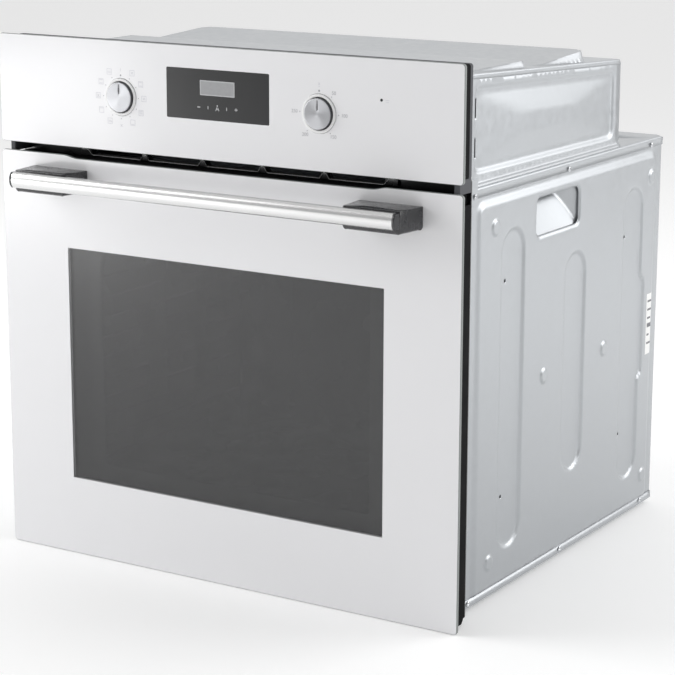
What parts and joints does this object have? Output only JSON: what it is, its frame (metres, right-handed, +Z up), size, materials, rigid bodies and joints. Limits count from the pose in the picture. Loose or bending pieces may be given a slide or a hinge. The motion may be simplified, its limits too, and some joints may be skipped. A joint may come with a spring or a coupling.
{
  "type": "built-in wall oven",
  "caption": "Built-in oven with a white glass front, dark window, bar handle on a drop-down door, two pop-out knobs, a small display and a pressed sheet-steel body",
  "frame": {"origin": "middle of the width of the flat underside of the body, in the plane where the front flange bears on the edge of the housing cabinet", "axes": "+Z up, +X to the right seen from the front, +Y into the oven, so the glass front faces -Y"},
  "size_m": [0.595, 0.588, 0.595],
  "materials": {
    "galvanised": "zinc-coated sheet, fine satin",
    "screw_steel": "zinc-plated",
    "hinge_steel": "pressed steel",
    "black_enamel": "black enamel, semi-gloss",
    "black_plastic": "moulded, fine texture",
    "grey_plastic": "moulded, fine texture",
    "white_plastic": "moulded, gloss",
    "lamp_pipe": "tinted, clear",
    "white_glass": "white printed behind polished glass",
    "clear_glass": "polished",
    "shaft_steel": "turned",
    "knob_metal": "spun face",
    "glass_wool": "loose fibre",
    "gasket_rubber": "silicone",
    "rack_chrome": "bright plated wire",
    "cavity_enamel": "dark vitreous enamel, gloss, fine specks",
    "aluminium": "pressed",
    "motor_steel": "laminated",
    "element_steel": "heat-tinted",
    "ceramic": "fired ceramic",
    "bracket_black": "satin lacquer",
    "handle_steel": "brushed lengthways"
  },
  "bodies": {
    "cabinet": {"air_duct": "galvanised", "back_panel": "galvanised", "base_panel": "galvanised", "blower_housing": "galvanised", "blower_motor": "motor_steel", "body_screws": "screw_steel", "bottom_element": "element_steel", "cavity_back": "cavity_enamel", "cavity_floor": "cavity_enamel", "cavity_left": "cavity_enamel", "cavity_right": "cavity_enamel", "cavity_roof": "cavity_enamel", "control_panel_glass": "white_glass", "control_panel_tray": "grey_plastic", "display_module": "black_plastic", "door_gasket": "gasket_rubber", "fan_cover": "cavity_enamel", "fan_motor": "motor_steel", "front_frame": "black_enamel", "grill_element": "element_steel", "hand_grip_cups": "galvanised", "hinge_arms": "hinge_steel", "hinge_receivers": "galvanised", "housing_back": "galvanised", "housing_brackets": "galvanised", "housing_side_left": "galvanised", "housing_side_right": "galvanised", "indicator_lamp": "lamp_pipe", "insulation_blankets": "glass_wool", "knob_bezels": "white_plastic", "lamp_bulb": "clear_glass", "lamp_holder": "ceramic", "lamp_lens": "clear_glass", "ring_heater": "element_steel", "selector_switch": "black_plastic", "side_panel_left": "galvanised", "side_panel_right": "galvanised", "side_rack_left": "rack_chrome", "side_rack_right": "rack_chrome", "terminal_block": "black_plastic", "thermostat": "black_plastic", "top_cover": "galvanised", "top_panel": "galvanised", "vent_louvre": "black_enamel"},
    "door": {"door_outer_glass": "white_glass", "door_middle_glass": "clear_glass", "door_inner_glass": "clear_glass", "door_side_profiles": "black_enamel", "door_top_trim": "black_plastic", "door_bottom_trim": "black_enamel", "hinge_cassettes": "hinge_steel", "hinge_pins": "hinge_steel", "handle_bar": "handle_steel", "handle_brackets": "bracket_black"},
    "selector_shaft": {"selector_shaft": "shaft_steel"},
    "selector_knob": {"selector_knob": "knob_metal"},
    "thermostat_shaft": {"thermostat_shaft": "shaft_steel"},
    "thermostat_knob": {"thermostat_knob": "knob_metal"},
    "convection_fan": {"fan_impeller": "aluminium"},
    "cooling_fan": {"blower_impeller": "aluminium"}
  },
  "joints": [
    {"name": "door_hinge", "type": "hinge", "parent": "cabinet", "child": "door", "pos_m": [0.264, -0.02, 0.012], "axis": [1, 0, 0], "range_deg": [0, 90], "stiffness_Nm_per_rad": 8, "springref_deg": -11.46},
    {"name": "selector_turn", "type": "hinge", "parent": "cabinet", "child": "selector_shaft", "pos_m": [-0.1275, 0, 0.5295], "axis": [0, 1, 0], "continuous": true},
    {"name": "selector_pop_out", "type": "slide", "parent": "selector_shaft", "child": "selector_knob", "axis": [0, -1, 0], "range_m": [0, 0.015]},
    {"name": "thermostat_turn", "type": "hinge", "parent": "cabinet", "child": "thermostat_shaft", "pos_m": [0.1275, 0, 0.5295], "axis": [0, 1, 0], "range_deg": [0, 270]},
    {"name": "thermostat_pop_out", "type": "slide", "parent": "thermostat_shaft", "child": "thermostat_knob", "axis": [0, -1, 0], "range_m": [0, 0.015]},
    {"name": "convection_fan_spin", "type": "hinge", "parent": "cabinet", "child": "convection_fan", "pos_m": [0, 0.397, 0.235], "axis": [0, 1, 0], "continuous": true},
    {"name": "cooling_fan_spin", "type": "hinge", "parent": "cabinet", "child": "cooling_fan", "pos_m": [0, 0.232, 0.5], "axis": [1, 0, 0], "continuous": true}
  ]
}
